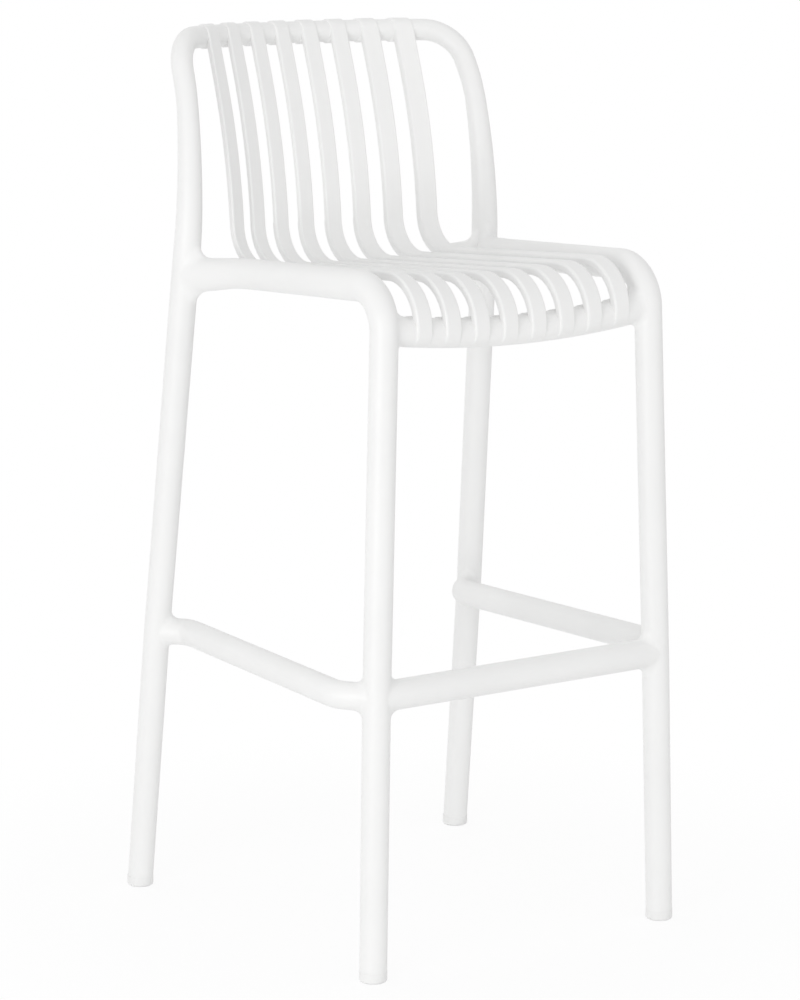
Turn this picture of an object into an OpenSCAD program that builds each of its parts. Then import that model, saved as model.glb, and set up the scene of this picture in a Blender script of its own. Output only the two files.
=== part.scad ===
// Slatted bar chair: a moulded frame of round members that carries eight slats, each
// of which runs in one piece from the top rail, over the seat, to the front rail.
// Millimetres. +Z is up, the front faces -Y, and X = 0 is the mid-plane. Left and
// right are the sitter's. Depths are counted from the seat frame's middle, and every
// piece is then moved by centre_y, so that the origin lies on the floor under the
// middle of the whole chair.

/* [Feet] */
// Half the spacing of the front feet's centres
front_foot_x = 199.5; // [185:0.5:215]
// Distance of the front feet ahead of the seat frame's middle
front_foot_y = 227; // [218:0.5:240]
// Half the spacing of the rear feet's centres
rear_foot_x = 230.5; // [215:0.5:245]
// Distance of the rear feet behind the seat frame's middle
rear_foot_y = 227; // [210:0.5:245]
// Diameter of a foot glide's head
glide_d = 31.6; // [30:0.2:38]
// Height of a foot glide's head, below the leg
glide_h = 8; // [5:0.5:14]
// Rounding of a foot glide's lower edge
glide_edge_r = 2.5; // [1:0.25:4]
// Diameter of a foot glide's stem
glide_stem_d = 15; // [12:0.5:17]
// Length of a foot glide's stem inside the leg
glide_stem_h = 22; // [14:1:32]
// Projection of a barb on a foot glide's stem
glide_barb = 0.6; // [0.3:0.1:1]
// Number of barbs on a foot glide's stem
glide_barbs = 3; // [1:1:4]

/* [Legs] */
// Diameter of a front leg
front_leg_d = 30.8; // [28:0.2:33]
// Diameter of a rear leg at the floor
rear_leg_d = 29.8; // [28:0.2:33]
// Outward set of a front leg at the footrest, off its straight line
front_leg_set = 1.7; // [0.5:0.1:4]
// Outward set of a rear leg at the stretcher, off its straight line
rear_leg_set = 3.2; // [0.5:0.1:5]
// Radius of the slow bend that each leg has at the footrest's height
leg_set_r = 1500; // [600:50:3000]

/* [Footrest and stretchers] */
// Height of the footrest's axis
footrest_z = 317; // [250:0.5:380]
// Diameter of the footrest bar
footrest_d = 33.4; // [28:0.2:36]
// Diameter of a side stretcher
stretcher_d = 32; // [26:0.2:34]
// Inward step of a stretcher beside its rear leg
stretcher_rear_in = 28; // [10:0.5:32]
// Length of that step along the chair
stretcher_rear_run = 26; // [24:1:60]
// Outward step of a stretcher beside its front leg
stretcher_front_out = 28; // [10:0.5:34]
// Length of that step along the chair
stretcher_front_run = 35; // [22:1:50]
// Bend radius of a stretcher's axis beside the legs
stretcher_r = 28; // [20:1:60]

/* [Seat frame] */
// Half the spacing of the side rails' axes at the front corners
seat_corner_x = 176.5; // [165:0.5:190]
// Distance of the front corners ahead of the seat frame's middle
seat_corner_y = 217.5; // [208:0.5:226]
// Height at which the axes of a front leg and a side rail would cross
seat_corner_z = 758.5; // [650:0.5:820]
// Bend radius of a front corner's axis
seat_corner_r = 43; // [25:1:46]
// Length of the side rail's part that is one piece with the front leg
corner_stub = 66; // [60:1:90]
// Diameter of a side rail and of the front corner
side_rail_d = 34.5; // [31:0.5:36]
// Outward shift of a side rail from its front corner to its turn
rail_turn_out = 2.5; // [0:0.5:8]
// Distance of a side rail's turn behind the seat frame's middle
rail_turn_y = 62; // [30:1:75]
// Radius of a side rail's turn
rail_turn_r = 150; // [60:5:250]
// Fall of a side rail from its front corner to its turn
rail_turn_drop = 12; // [0:0.5:18]
// Fall of a side rail from its front corner to the rear leg
rail_rear_drop = 17.5; // [0:0.5:26]
// Diameter of the front rail
front_rail_d = 32.4; // [28:0.2:34]
// Distance of the front rail's axis behind the front corners
front_rail_back = 5; // [0:0.5:8]
// Depth of the front rail's middle below the front corners' axes
front_rail_drop = 56; // [50:0.5:70]
// Radius of the sag of the front rail and the seat
sag_r = 1250; // [900:10:3000]

/* [Backrest] */
// Diameter of a rear member at the seat
upright_low_d = 31.2; // [30:0.2:35]
// Diameter of a rear member at its top corner
upright_top_d = 24.4; // [23:0.2:28]
// Inward lean of a rear member from its foot to its waist
waist_in = 24.2; // [10:0.2:40]
// Forward lean of a rear member from its foot to its waist
waist_forward = 98; // [85:0.5:110]
// Height of the waist above the front corners' axes
waist_rise = 66.5; // [55:0.5:90]
// Radius of the waist's bend
waist_r = 610; // [300:10:900]
// Height of the shoulder above the waist
shoulder_rise = 115; // [95:1:130]
// Distance of the shoulder behind the waist
shoulder_back = 19.5; // [8:0.5:30]
// Inward step from the waist to the shoulder
shoulder_in = 6.8; // [0:0.2:12]
// Radius of the shoulder's bend
shoulder_r = 155; // [80:5:250]
// Inward step from the shoulder to the crossing of the top corner's axes
top_corner_in = 6.5; // [0:0.5:12]
// Height of the top rail's axis above the shoulder
top_rail_rise = 64.2; // [55:0.1:75]
// Distance of the middle of the top rail behind the seat frame's middle
top_rail_y = 243.5; // [232:0.5:256]
// Diameter of the top rail
top_rail_d = 25.5; // [22:0.5:29]
// Radius of the top rail's bow, seen from above
bow_r = 304; // [290:2:400]
// Length of the top rail past the middle of an outer slat
bow_past = 21; // [20:0.5:24]
// Bend radius of a top corner's axis
top_corner_r = 58; // [45:1:66]

/* [Slats] */
// Width of a slat, between its two upright sides
slat_w = 20.4; // [16:0.2:23]
// Thickness of a slat
slat_t = 7.6; // [5:0.2:9]
// Bevel on the edges that the sitter touches
slat_bevel = 2; // [0.5:0.25:2.25]
// Bevel on the hidden edges
slat_back_bevel = 1; // [0.25:0.25:2]
// Spacing of the slats' middles
slat_pitch = 38; // [31:0.25:38.5]
// Slope of a slat's face across the back, as a share of the bow's
back_turn = 0.8; // [0.4:0.05:1]
// Thickness of a slat's band round a rail
band_t = 1.6; // [1.2:0.1:3]
// Step from a slat's face down to its bands
band_step = 0.5; // [0.3:0.1:1]
// Step from a slat's side in to its bands' sides
band_inset = 0.8; // [0.4:0.1:2]
// Height of the seat surface above the front rail's axis, at the front edge
seat_rise = 62.5; // [56:0.5:75]
// Fall of the seat from front to back, in degrees
seat_pitch = 3.5; // [0:0.25:7]
// Radius of the slats' bend at the seat's front edge
front_bend_r = 59; // [40:1:60]
// Radius of the slats' bend between seat and back
seat_bend_r = 45; // [30:1:70]
// Lean of the back's lower part, in degrees
low_lean = 4.5; // [0:0.25:8]
// Lean of the back's upper part, in degrees
top_lean = 18.5; // [14:0.5:24]
// Depth below the top rail's axis at which those two leans would meet
lean_meet = 124; // [100:1:140]
// Radius of the curve between those two leans
lean_r = 725; // [300:5:750]

/* [Joints] */
// Diameter of the tenons that enter the legs
tenon_d = 14; // [10:0.5:16]
// Reach of a tenon into a leg
tenon_l = 8; // [5:0.5:9]
// Diameter of the tenons at the ends of the top rail
top_tenon_d = 12; // [8:0.5:14]
// Reach of the tenons at the ends of the top rail and at the front of the side rails
end_tenon_l = 12; // [6:0.5:14]
// Gap round a tenon, a stem or a rail inside the piece that holds it
fit_gap = 0.2; // [0.1:0.05:0.4]
// Gap between a shaped end and the round member that it meets
seam_gap = 0.3; // [0.2:0.05:0.4]
// Distance between a shaped end's cheeks and the axis of the round member between them
cheek_gap = 5; // [4:0.5:8]
// Spare depth of a socket past its tenon
socket_spare = 0.5; // [0.3:0.1:1]

/* [Hidden] */

$fn = 72;
slat_count = 8;
tube_sides = 32;
frame_white = [0.93, 0.93, 0.92];
slat_white = [0.91, 0.91, 0.9];
glide_white = [0.86, 0.86, 0.85];
// Length by which a tenon is rooted in its own piece
tenon_root = 12;

// Rear member, from the floor to the top corner
rear_foot = [rear_foot_x, rear_foot_y, 0];
waist = rear_foot + [-waist_in, -waist_forward, seat_corner_z + waist_rise];
shoulder = waist + [-shoulder_in, shoulder_back, shoulder_rise];
rear_knee = set_point(rear_foot, waist, rear_leg_set);
top_rail_z = shoulder.z + top_rail_rise;

// Top rail, bowed about a centre in front of it
outer_slat_x = slat_pitch * (slat_count - 1) / 2;
bow_centre_y = top_rail_y - bow_r;
bow_angle = asin(outer_slat_x / bow_r) + arc_angle(bow_past, bow_r);
bow_end = [bow_r * sin(bow_angle), bow_centre_y + bow_r * cos(bow_angle), top_rail_z];
bow_out = [cos(bow_angle), -sin(bow_angle), 0];
top_corner = bow_end + (shoulder.x - top_corner_in - bow_end.x) / bow_out.x * bow_out;
rear_path = [rear_foot, rear_knee, waist, shoulder, top_corner, bow_end];
rear_radii = [leg_set_r, waist_r, shoulder_r, top_corner_r];
rear_steps = [1, 7, 4, 9];

// Front member, from the floor to the side rail
front_foot = [front_foot_x, -front_foot_y, 0];
seat_corner = [seat_corner_x, -seat_corner_y, seat_corner_z];
front_knee = set_point(front_foot, seat_corner, front_leg_set);
rail_turn = [seat_corner_x + rail_turn_out, rail_turn_y, seat_corner_z - rail_turn_drop];
rail_root = along_z(rear_knee, waist, seat_corner_z - rail_rear_drop);
stub_end = seat_corner + corner_stub * unit(rail_turn - seat_corner);
front_path = [front_foot, front_knee, seat_corner, stub_end];
front_radii = [leg_set_r, seat_corner_r];
front_steps = [1, 9];

// Diameters of the front and the rear members by height
front_sizes = [[seat_corner_z - seat_corner_r, front_leg_d], [stub_end.z, side_rail_d]];
rear_sizes = [
    [0, rear_leg_d],
    [rail_root.z + side_rail_d, upright_low_d],
    [shoulder.z - upright_top_d / 2, upright_top_d],
    [top_rail_z, top_rail_d]
];

// Side stretcher, which steps in from its rear leg and back to its front leg
stretcher_rear_way = [-stretcher_rear_in, -stretcher_rear_run, 0];
stretcher_front_way = [stretcher_front_out, stretcher_front_run, 0];
stretcher_path = [
    rear_knee + cheek_gap * unit(stretcher_rear_way),
    rear_knee + stretcher_rear_way,
    front_knee + stretcher_front_way,
    front_knee + cheek_gap * unit(stretcher_front_way)
];

// Front rail
front_rail_y = -seat_corner_y + front_rail_back;
front_rail_z = seat_corner_z - front_rail_drop;
front_rail_angle = asin((seat_corner_x - cheek_gap) / sag_r);
front_rail_root = along_z(front_knee, seat_corner, front_rail_z + sag_at(seat_corner_x));

// Front and back of the whole chair, whose middle is the origin
chair_front = glide_seat(front_foot, front_knee).y - glide_d / 2;
back_r = bow_r + top_rail_d / 2 + band_t;
chair_back = bow_centre_y + back_r * cos(asin((slat_pitch - slat_w + 2 * band_inset) / 2 / back_r));
centre_y = (chair_front + chair_back) / 2;

// Drop of the bow ahead of its middle at x, and rise of the sag above its middle
function bow_at(x) = bow_r - sqrt(bow_r * bow_r - x * x);
function sag_at(x) = sag_r - sqrt(sag_r * sag_r - x * x);

// Angle, at the centre of an arc of radius r, of a length along that arc
function arc_angle(length, r) = length / r * 180 / PI;

function unit(v) = v / norm(v);

// Point of the line a-b at height z
function along_z(a, b, z) = a + (b - a) * (z - a.z) / (b.z - a.z);

// Point of a leg at the footrest's height, moved outwards by its set
function set_point(foot, top, set) = along_z(foot, top, footrest_z) + [set, 0, 0];

// Turn of the path c at corner i, and the length of straight that its bend takes. Where two
// bends ask for more than the straight between them holds, both give way
function turn_at(c, i) = acos(unit(c[i] - c[i - 1]) * unit(c[i + 1] - c[i]));
function is_end(c, i) = i == 0 || i == len(c) - 1;
function asked(c, r, i) = is_end(c, i) ? 0 : r[i - 1] * tan(turn_at(c, i) / 2);
function asked_by(c, r, i) = max(0.01, asked(c, r, i) + asked(c, r, i + 1));
function room(c, r, i) = min(1, 0.98 * norm(c[i + 1] - c[i]) / asked_by(c, r, i));
function bend_l(c, r, i) = is_end(c, i) ? 0 : asked(c, r, i) * min(room(c, r, i - 1), room(c, r, i));
function bend_radius(c, r, i) = bend_l(c, r, i) / tan(turn_at(c, i) / 2);

// Where the bend at corner i starts, where it ends, and its centre
function bend_start(c, r, i) = i == 0 ? c[0] : c[i] + unit(c[i - 1] - c[i]) * bend_l(c, r, i);
function bend_end(c, r, i) = i == len(c) - 1 ? c[i] : c[i] + unit(c[i + 1] - c[i]) * bend_l(c, r, i);
function bend_inward(c, i) = unit(unit(c[i - 1] - c[i]) + unit(c[i + 1] - c[i]));
function bend_centre(c, r, i) = c[i] + bend_inward(c, i) * bend_radius(c, r, i) / cos(turn_at(c, i) / 2);

// Points along the bend at corner i, in n steps
function bend_points(c, r, i, n) =
    let (
        centre = bend_centre(c, r, i),
        out = bend_start(c, r, i) - centre,
        ahead = unit(c[i] - c[i - 1]) * norm(out),
        step = turn_at(c, i) / n
    )
    [for (k = [0:n]) centre + out * cos(step * k) + ahead * sin(step * k)];

// Points of a whole path, with n[i - 1] steps in the bend at corner i
function path_points(c, r, n) =
    [c[0], for (i = [1:len(c) - 2]) each bend_points(c, r, i, n[i - 1]), c[len(c) - 1]];

// Direction of a list of points at entry i
function heading(p, i) = unit(p[min(i + 1, len(p) - 1)] - p[max(i - 1, 0)]);

// Skin of a round member along points, which never runs in the direction across. Its diameters
// are looked up by height
module round_skin(points, across, sizes) {
    step = 360 / tube_sides;
    skin([
        for (i = [0:len(points) - 1])
            let (
                h = heading(points, i),
                side = unit(cross(h, across)),
                up = cross(h, side),
                r = lookup(points[i].z, sizes) / 2
            )
            [for (k = [0:tube_sides - 1]) points[i] + r * (side * cos(step * k) - up * sin(step * k))]
    ]);
}

// Closed skin over rings of points, which turn left-handed about the way they follow
module skin(rings) {
    n = len(rings[0]);
    last = len(rings) - 1;
    polyhedron(
        points = [for (ring = rings) each ring],
        faces = [
            for (k = [1:n - 2]) [0, k + 1, k],
            for (j = [0:last - 1], k = [0:n - 1])
                each [
                    [j * n + k, j * n + (k + 1) % n, (j + 1) * n + (k + 1) % n],
                    [j * n + k, (j + 1) * n + (k + 1) % n, (j + 1) * n + k]
                ],
            for (k = [1:n - 2]) [last * n, last * n + k, last * n + k + 1]
        ],
        convexity = 6
    );
}

// Carries children from the origin, along +Z, to a point and a direction
module aimed(at, direction) {
    d = unit(direction);
    translate(at)
        rotate([0, acos(d.z), atan2(d.y, d.x)])
            children();
}

// Straight round bar from a to b
module bar(a, b, d) {
    aimed(a, b - a)
        cylinder(h = norm(b - a), d = d);
}

// Cut that fits a piece's end to a round member of diameter host_d, which passes the point at
// in the direction along
module saddle_cut(at, along, host_d) {
    reach = 2 * host_d * unit(along);
    bar(at - reach, at + reach, host_d + 2 * seam_gap);
}

// Tenon of a piece that meets a round member of diameter host_d, whose axis it would cross
// at a point. out is the way from that axis to the piece
module tenon(at, out, host_d, d, l) {
    aimed(at + (host_d / 2 - l) * unit(out), out)
        cylinder(h = l + tenon_root, d = d);
}

// Blind socket for that tenon
module socket(at, out, host_d, d, l) {
    aimed(at + (host_d / 2 - l - socket_spare) * unit(out), out)
        cylinder(h = l + socket_spare + tenon_root, d = d + 2 * fit_gap);
}

// Moves children from the seat frame's middle to the chair's
module placed() {
    translate([0, -centre_y, 0])
        children();
}

// Shows children, which are drawn on the sitter's left, on either side
module on_side(side) {
    placed()
        mirror([side == "right" ? 1 : 0, 0, 0])
            children();
}

// Shows children on both sides
module on_both_sides() {
    for (side = [0, 1])
        mirror([side, 0, 0])
            children();
}

// Space under a leg, which the head of its glide fills
module under_leg(foot) {
    translate([foot.x - glide_d, foot.y - glide_d, -glide_d])
        cube([2 * glide_d, 2 * glide_d, glide_d + glide_h]);
}

// Foot glides: a rounded head, and a barbed stem that is pushed into the leg
function glide_seat(foot, knee) = along_z(foot, knee, glide_h);

module glide_socket(foot, knee) {
    translate(glide_seat(foot, knee) - [0, 0, 1])
        cylinder(h = glide_stem_h + socket_spare + 1, d = glide_stem_d + 2 * (glide_barb + fit_gap));
}

module foot_glide(foot, knee, side) {
    barb_h = glide_stem_h / (glide_barbs + 1);
    color(glide_white)
        on_side(side)
            translate(glide_seat(foot, knee) - [0, 0, glide_h]) {
                rotate_extrude()
                    glide_profile();
                translate([0, 0, glide_h])
                    cylinder(h = glide_stem_h, d = glide_stem_d);
                for (k = [1:glide_barbs])
                    translate([0, 0, glide_h + k * barb_h])
                        cylinder(h = barb_h / 2, d1 = glide_stem_d + 2 * glide_barb, d2 = glide_stem_d);
            }
}

module glide_profile() {
    r = glide_edge_r;
    square([glide_d / 2 - r, glide_h]);
    translate([0, r])
        square([glide_d / 2, glide_h - r]);
    translate([glide_d / 2 - r, r])
        circle(r = r);
}

// Front legs, each bent over into the first stretch of a side rail
module front_member(extra) {
    round_skin(
        path_points(front_path, front_radii, front_steps),
        [1, 0, 0],
        [for (size = front_sizes) size + [0, extra]]
    );
}

module front_leg(side) {
    color(frame_white)
        on_side(side)
            difference() {
                front_member(0);
                under_leg(front_foot);
                glide_socket(front_foot, front_knee);
                socket(front_knee, [-1, 0, 0], front_leg_d, tenon_d, tenon_l);
                socket(front_knee, stretcher_front_way, front_leg_d, tenon_d, tenon_l);
                socket(front_rail_root, [-1, 0, 0], front_leg_d, tenon_d, tenon_l);
                socket(stub_end, rail_turn - stub_end, 0, tenon_d, end_tenon_l);
            }
}

// Rear members: leg, upright and top corner in one piece
module rear_leg(side) {
    color(frame_white)
        on_side(side)
            difference() {
                round_skin(path_points(rear_path, rear_radii, rear_steps), [0, 1, 0], rear_sizes);
                under_leg(rear_foot);
                glide_socket(rear_foot, rear_knee);
                socket(rear_knee, stretcher_rear_way, rear_leg_d, tenon_d, tenon_l);
                socket(rail_root, rail_turn - rail_root, upright_low_d, tenon_d, tenon_l);
                socket(bow_end, -bow_out, 0, top_tenon_d, end_tenon_l);
            }
}

// Side rails, from the front leg's stub to the rear leg
module side_rail(side) {
    way = rail_turn - rail_root;
    end = rail_root + cheek_gap * unit(way);
    color(frame_white)
        on_side(side) {
            difference() {
                round_skin(
                    path_points([stub_end, rail_turn, end], [rail_turn_r], [5]),
                    [1, 0, 0],
                    [[0, side_rail_d], [seat_corner_z, side_rail_d]]
                );
                saddle_cut(rail_root, waist - rear_knee, upright_low_d);
            }
            tenon(rail_root, way, upright_low_d, tenon_d, tenon_l);
            tenon(stub_end, rail_turn - stub_end, 0, tenon_d, end_tenon_l);
        }
}

// Front rail, which sags towards its middle
module along_sag(from, to) {
    translate([0, front_rail_y, front_rail_z + sag_r])
        rotate([90, 0, 0])
            rotate([0, 0, from - 90])
                rotate_extrude(angle = to - from)
                    translate([sag_r, 0])
                        children();
}

module front_seat_rail() {
    color(frame_white)
        placed() {
            difference() {
                along_sag(-front_rail_angle, front_rail_angle)
                    circle(d = front_rail_d);
                on_both_sides()
                    front_member(2 * seam_gap);
            }
            on_both_sides()
                tenon(front_rail_root, [-1, 0, 0], front_leg_d, tenon_d, tenon_l);
        }
}

// Top rail, whose bow runs behind the sitter's shoulders
module along_bow(from, to) {
    translate([0, bow_centre_y, top_rail_z])
        rotate([0, 0, 90 - to])
            rotate_extrude(angle = to - from)
                translate([bow_r, 0])
                    children();
}

module top_rail() {
    color(frame_white)
        placed() {
            along_bow(-bow_angle, bow_angle)
                circle(d = top_rail_d);
            on_both_sides()
                tenon(bow_end, -bow_out, 0, top_tenon_d, end_tenon_l);
        }
}

// Footrest bar, between the front legs
module footrest_bar() {
    end = front_knee - [cheek_gap, 0, 0];
    color(frame_white)
        placed() {
            difference() {
                bar([-end.x, end.y, end.z], end, footrest_d);
                on_both_sides()
                    saddle_cut(front_knee, seat_corner - front_foot, front_leg_d);
            }
            on_both_sides()
                tenon(front_knee, [-1, 0, 0], front_leg_d, tenon_d, tenon_l);
        }
}

// Side stretchers
module side_stretcher(side) {
    rear_host_d = lookup(footrest_z, rear_sizes);
    color(frame_white)
        on_side(side) {
            difference() {
                round_skin(
                    path_points(stretcher_path, [stretcher_r, stretcher_r], [6, 6]),
                    [0, 0, 1],
                    [[0, stretcher_d], [seat_corner_z, stretcher_d]]
                );
                saddle_cut(front_knee, seat_corner - front_foot, front_leg_d);
                saddle_cut(rear_knee, waist - rear_foot, rear_host_d);
            }
            tenon(rear_knee, stretcher_rear_way, rear_leg_d, tenon_d, tenon_l);
            tenon(front_knee, stretcher_front_way, front_leg_d, tenon_d, tenon_l);
        }
}

// Slats. The path of a slat's face lies in a plane of constant x: it starts on the band round
// the front rail, rises to the seat, runs back, rises again and ends on the top rail's band
function slat_x(i) = slat_pitch * (i - (slat_count + 1) / 2);

function slat_path(x) =
    let (
        band_y = front_rail_y - front_rail_d / 2 - band_t - band_step,
        front = [x, band_y, front_rail_z + sag_at(x)],
        edge = front + [0, 0, seat_rise],
        top_r = top_rail_d / 2 + band_t + band_step,
        ahead = top_r * cos(top_lean) / cos(asin(x / bow_r)),
        top = [x, top_rail_y - bow_at(x) - ahead, top_rail_z + top_r * sin(top_lean)],
        recline = top - (top.z - top_rail_z + lean_meet) * [0, tan(top_lean), 1],
        fall = tan(seat_pitch),
        lean = tan(low_lean),
        crease_z = (edge.z - fall * (recline.y - lean * recline.z - band_y)) / (1 + fall * lean),
        crease = [x, recline.y - lean * (recline.z - crease_z), crease_z]
    )
    [front, edge, crease, recline, top];

slat_radii = [front_bend_r, seat_bend_r, lean_r];
slat_steps = [9, 8, 7];

// Outline of a slat at point p of its face, which looks towards n and rises by slope across it
function slat_ring(p, n, slope) =
    let (
        a = slat_w / 2,
        b = slat_bevel,
        c = slat_back_bevel,
        t = slat_t * norm([1, slope]),
        outline = [
            [a, -b], [a - b, 0], [b - a, 0], [-a, -b],
            [-a, c - t], [c - a, -t], [a - c, -t], [a, c - t]
        ]
    )
    [for (q = outline) p + [q.x, 0, 0] + (q.y + slope * q.x) * n];

// Share of the change from the seat's slope to the back's, at point k of the path
function changed_at(k) =
    let (s = min(1, max(0, (k - slat_steps[0] - 2) / slat_steps[1])))
    s * s * (3 - 2 * s);

module slat_strip(x) {
    points = path_points(slat_path(x), slat_radii, slat_steps);
    seat_slope = x / sag_r;
    back_slope = back_turn * tan(asin(x / bow_r));
    skin([
        for (k = [0:len(points) - 1])
            let (h = heading(points, k), slope = seat_slope + changed_at(k) * (back_slope - seat_slope))
            slat_ring(points[k], [0, -h.z, h.y], slope)
    ]);
}

// Keeps what lies within half a width of x
module between_sides(x, half) {
    intersection() {
        children();
        translate([x - half, -seat_corner_z, 0])
            cube([2 * half, 2 * seat_corner_z, 2 * seat_corner_z]);
    }
}

module slat(i) {
    x = slat_x(i);
    sag = asin(x / sag_r);
    bow = asin(x / bow_r);
    sag_reach = arc_angle(slat_w, sag_r);
    bow_reach = arc_angle(slat_w, bow_r);
    color(slat_white)
        placed()
            difference() {
                union() {
                    slat_strip(x);
                    between_sides(x, slat_w / 2 - band_inset) {
                        along_sag(sag - sag_reach, sag + sag_reach)
                            circle(d = front_rail_d + 2 * band_t);
                        along_bow(bow - bow_reach, bow + bow_reach)
                            circle(d = top_rail_d + 2 * band_t);
                    }
                }
                along_sag(sag - 2 * sag_reach, sag + 2 * sag_reach)
                    circle(d = front_rail_d + 2 * fit_gap);
                along_bow(bow - 2 * bow_reach, bow + 2 * bow_reach)
                    circle(d = top_rail_d + 2 * fit_gap);
            }
}

front_leg("right");  // front_leg_right
front_leg("left");  // front_leg_left
rear_leg("right");  // rear_leg_right
rear_leg("left");  // rear_leg_left
side_rail("right");  // side_rail_right
side_rail("left");  // side_rail_left
front_seat_rail();
top_rail();
footrest_bar();
side_stretcher("right");  // side_stretcher_right
side_stretcher("left");  // side_stretcher_left
slat(1);  // slat_1
slat(2);  // slat_2
slat(3);  // slat_3
slat(4);  // slat_4
slat(5);  // slat_5
slat(6);  // slat_6
slat(7);  // slat_7
slat(8);  // slat_8
foot_glide(front_foot, front_knee, "right");  // foot_glide_front_right
foot_glide(front_foot, front_knee, "left");  // foot_glide_front_left
foot_glide(rear_foot, rear_knee, "right");  // foot_glide_rear_right
foot_glide(rear_foot, rear_knee, "left");  // foot_glide_rear_left
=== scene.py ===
"""Looks of a white moulded plastic bar chair: frame, slats, foot glides, studio and camera."""

import logging
import math
from dataclasses import dataclass, field
from enum import Enum
from typing import Any, Callable, Sequence

import bpy
import numpy as np
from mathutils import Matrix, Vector


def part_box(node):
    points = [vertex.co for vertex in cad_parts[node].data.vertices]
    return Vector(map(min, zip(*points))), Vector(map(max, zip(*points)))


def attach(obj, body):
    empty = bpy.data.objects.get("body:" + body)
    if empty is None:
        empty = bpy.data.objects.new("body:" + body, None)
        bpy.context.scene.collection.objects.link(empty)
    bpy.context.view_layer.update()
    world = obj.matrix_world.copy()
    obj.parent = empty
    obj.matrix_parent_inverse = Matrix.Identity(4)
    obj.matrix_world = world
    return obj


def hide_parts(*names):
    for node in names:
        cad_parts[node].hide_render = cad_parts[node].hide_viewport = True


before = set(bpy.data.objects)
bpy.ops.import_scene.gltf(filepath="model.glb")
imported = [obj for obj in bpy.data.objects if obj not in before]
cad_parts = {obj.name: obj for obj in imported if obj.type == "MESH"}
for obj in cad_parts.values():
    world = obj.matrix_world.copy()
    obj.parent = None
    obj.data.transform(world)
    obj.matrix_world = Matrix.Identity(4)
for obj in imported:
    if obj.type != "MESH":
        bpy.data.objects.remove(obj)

LOG = logging.getLogger("bar_chair")
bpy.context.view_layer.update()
MM = 0.001
UP = np.array([0.0, 0.0, 1.0])
ACROSS = np.array([1.0, 0.0, 0.0])
ALONG = np.array([0.0, 1.0, 0.0])
PLASTIC_WHITE = (0.85, 0.85, 0.845)
GLIDE_WHITE = (0.83, 0.83, 0.825)
Array = np.ndarray
# How far from its host's axis a flare starts at each angle, and its rings
Flare = tuple[Array, list[Array]]
# Radii of a fillet above and below its bar
Radii = tuple[float, float]


class Side(Enum):
    """The sitter's side that a piece stands on."""

    LEFT = "left"
    RIGHT = "right"


class Slot(Enum):
    """Names of the materials of the three finishes."""

    FRAME = "frame_plastic"
    SLATS = "slat_plastic"
    GLIDES = "glide_plastic"


def unit(vectors: Array) -> Array:
    """Vectors, one or many, cut to length 1."""
    return vectors / np.linalg.norm(vectors, axis=-1, keepdims=True)


def ease(share: Any) -> Any:
    """A share from 0 to 1 that starts and ends gently."""
    share = np.clip(share, 0.0, 1.0)
    return share * share * (3.0 - 2.0 * share)


def mirror(points: Array) -> Array:
    """Points moved to the other side of the chair's mid-plane."""
    return points * np.array([-1.0, 1.0, 1.0])


def at_height(low: Array, high: Array, height: float) -> Array:
    """Point of the line low-high at a height."""
    return low + (high - low) * (height - low[2]) / (high[2] - low[2])


def run_of(line: Array) -> Array:
    """Length along a line up to each of its points."""
    return np.concatenate([[0.0], np.cumsum(np.linalg.norm(np.diff(line, axis=0), axis=1))])


def along(places: Array, run: Array, table: Array) -> Array:
    """Rows of a table, read at places along its run.

    Args:
        places: Lengths at which the table is read.
        run: Length at each of the table's rows.
        table: Numbers, or rows of numbers.

    Returns:
        A number or a row for each place.
    """
    if table.ndim == 1:
        return np.interp(places, run, table)
    return np.stack([np.interp(places, run, column) for column in table.T], axis=-1)


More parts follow.
